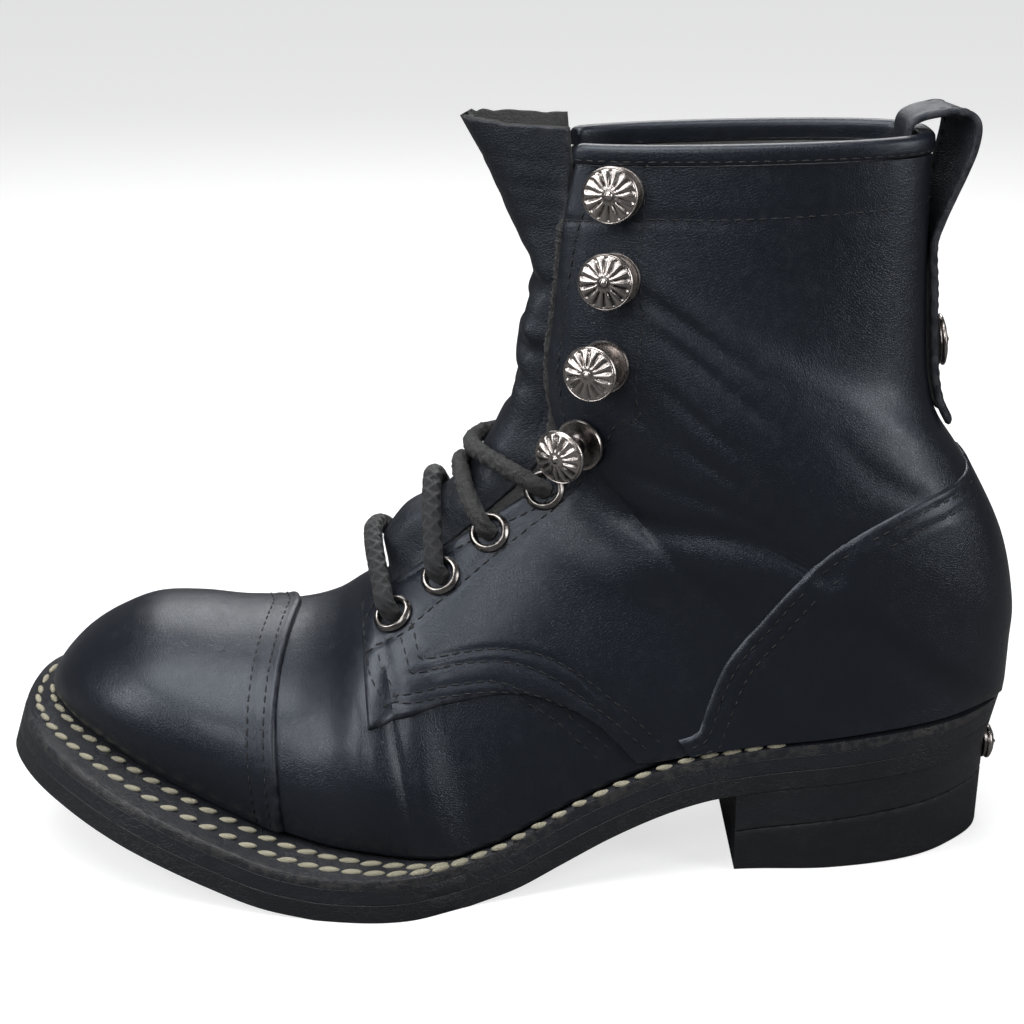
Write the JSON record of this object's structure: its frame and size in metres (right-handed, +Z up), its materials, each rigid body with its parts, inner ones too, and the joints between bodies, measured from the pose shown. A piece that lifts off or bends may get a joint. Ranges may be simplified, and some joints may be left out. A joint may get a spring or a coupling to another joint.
{
  "type": "lace-up boot",
  "caption": "Black leather lace-up ankle boot with a toe cap, welted sole, stacked heel, eyelets below lace studs, and a pull loop at the back.",
  "frame": {"origin": "centre of the bounding box in plan, on the ground under the heel and the forefoot", "axes": "+Z up, toe towards -Y, outer (lateral) side of the foot towards +X"},
  "size_m": [0.1174, 0.3003, 0.2192],
  "materials": {
    "upper_leather": "satin, fine grain",
    "lining": "matt",
    "suede": "napped",
    "edge_leather": "dressed and waxed",
    "rubber": "matt",
    "dark_nickel": "worn bright at the rim",
    "antique_silver": "aged, dark in the hollows",
    "cord": "round braid"
  },
  "bodies": {
    "root": {"outsole": "rubber", "midsole": "edge_leather", "welt": "edge_leather", "heel_lift": "rubber", "heel_base": "edge_leather", "insole": "lining", "upper": "upper_leather", "toe_cap": "upper_leather", "quarter_lateral": "upper_leather", "quarter_medial": "upper_leather", "heel_counter": "upper_leather", "tongue": "upper_leather", "gusset_lateral": "suede", "gusset_medial": "suede", "collar_binding": "upper_leather", "pull_loop": "upper_leather", "backstay_disc": "antique_silver", "heel_disc": "antique_silver", "eyelet_lateral_1": "dark_nickel", "lace_stud_lateral_1": "antique_silver", "eyelet_lateral_2": "dark_nickel", "lace_stud_lateral_2": "antique_silver", "eyelet_lateral_3": "dark_nickel", "lace_stud_lateral_3": "antique_silver", "eyelet_lateral_4": "dark_nickel", "lace_stud_lateral_4": "antique_silver", "eyelet_medial_1": "dark_nickel", "lace_stud_medial_1": "antique_silver", "eyelet_medial_2": "dark_nickel", "lace_stud_medial_2": "antique_silver", "eyelet_medial_3": "dark_nickel", "lace_stud_medial_3": "antique_silver", "eyelet_medial_4": "dark_nickel", "lace_stud_medial_4": "antique_silver", "lace_bar_1": "cord", "lace_bar_2": "cord", "lace_bar_3": "cord", "lace_bar_4": "cord"}
  },
  "joints": []
}
